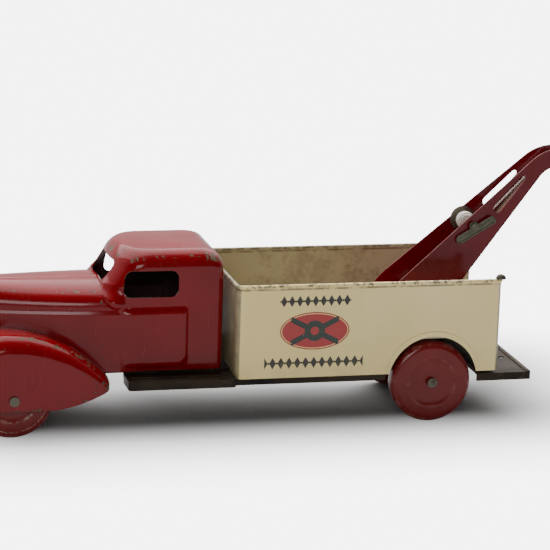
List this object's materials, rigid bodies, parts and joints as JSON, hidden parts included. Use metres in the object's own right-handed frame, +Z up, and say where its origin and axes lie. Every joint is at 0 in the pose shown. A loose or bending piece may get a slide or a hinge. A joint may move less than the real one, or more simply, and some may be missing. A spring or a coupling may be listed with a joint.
{
  "type": "toy tow truck",
  "caption": "Pressed-steel toy tow truck: cab with long hood, round front fenders, open rimmed bed, gooseneck boom with a keyed string winch and hook, turning wheels.",
  "frame": {"origin": "on the ground under the middle of the truck's overall length and width, the hook and its string left out", "axes": "+X toward the tail, +Y toward the truck's right side, +Z up; the front of the truck points along -X"},
  "size_m": [0.3608, 0.0966, 0.1428],
  "materials": {
    "red_enamel": "glossy baked enamel, chipped on its edges",
    "boom_enamel": "glossy dark red enamel",
    "cream_enamel": "satin cream enamel, rubbed along the rim",
    "black_enamel": "black enamel, worn brown on the step",
    "plated_steel": "dulled plating",
    "bare_steel": "tarnished steel",
    "wheel_paint": "dark red paint on turned wood",
    "string": "twisted cotton string"
  },
  "bodies": {
    "truck": {"cab_body": "red_enamel", "front_fender_left": "red_enamel", "front_fender_right": "red_enamel", "grille": "plated_steel", "front_bumper": "plated_steel", "chassis_frame": "black_enamel", "frame_tabs": "cream_enamel", "bed_shell": "cream_enamel", "bed_floor": "cream_enamel", "corner_knobs": "bare_steel", "boom_plate_left": "boom_enamel", "boom_plate_right": "boom_enamel", "boom_web": "boom_enamel", "guide_pin": "bare_steel", "tip_pin": "bare_steel", "boom_string": "string", "tow_string": "string", "front_axle": "bare_steel", "rear_axle": "bare_steel", "axle_collars": "bare_steel"},
    "winch": {"winch_axle": "bare_steel", "winch_key": "bare_steel", "drum_flange": "bare_steel", "string_winding": "string"},
    "hook": {"tow_hook": "bare_steel"},
    "wheel_front_left": {"wheel_front_left": "wheel_paint"},
    "wheel_front_right": {"wheel_front_right": "wheel_paint"},
    "wheel_rear_left": {"wheel_rear_left": "wheel_paint"},
    "wheel_rear_right": {"wheel_rear_right": "wheel_paint"}
  },
  "joints": [
    {"name": "front_left_spin", "type": "hinge", "parent": "truck", "child": "wheel_front_left", "pos_m": [-0.143, -0.0354, 0.02225], "axis": [0, 1, 0], "continuous": true},
    {"name": "front_right_spin", "type": "hinge", "parent": "truck", "child": "wheel_front_right", "pos_m": [-0.143, 0.0354, 0.02225], "axis": [0, 1, 0], "continuous": true},
    {"name": "rear_left_spin", "type": "hinge", "parent": "truck", "child": "wheel_rear_left", "pos_m": [0.084, -0.0354, 0.02225], "axis": [0, 1, 0], "continuous": true},
    {"name": "rear_right_spin", "type": "hinge", "parent": "truck", "child": "wheel_rear_right", "pos_m": [0.084, 0.0354, 0.02225], "axis": [0, 1, 0], "continuous": true},
    {"name": "winch_turn", "type": "hinge", "parent": "truck", "child": "winch", "pos_m": [0.113, 0, 0.1015], "axis": [0, 1, 0], "range_deg": [0, 343]},
    {"name": "hook_lift", "type": "slide", "parent": "truck", "child": "hook", "axis": [0, 0, 1], "range_m": [0, 0.0315], "deforming": ["tow_string"]}
  ],
  "couplings": [
    {"joint": "hook_lift", "follows": "winch_turn", "m_per_rad": 0.00525}
  ]
}
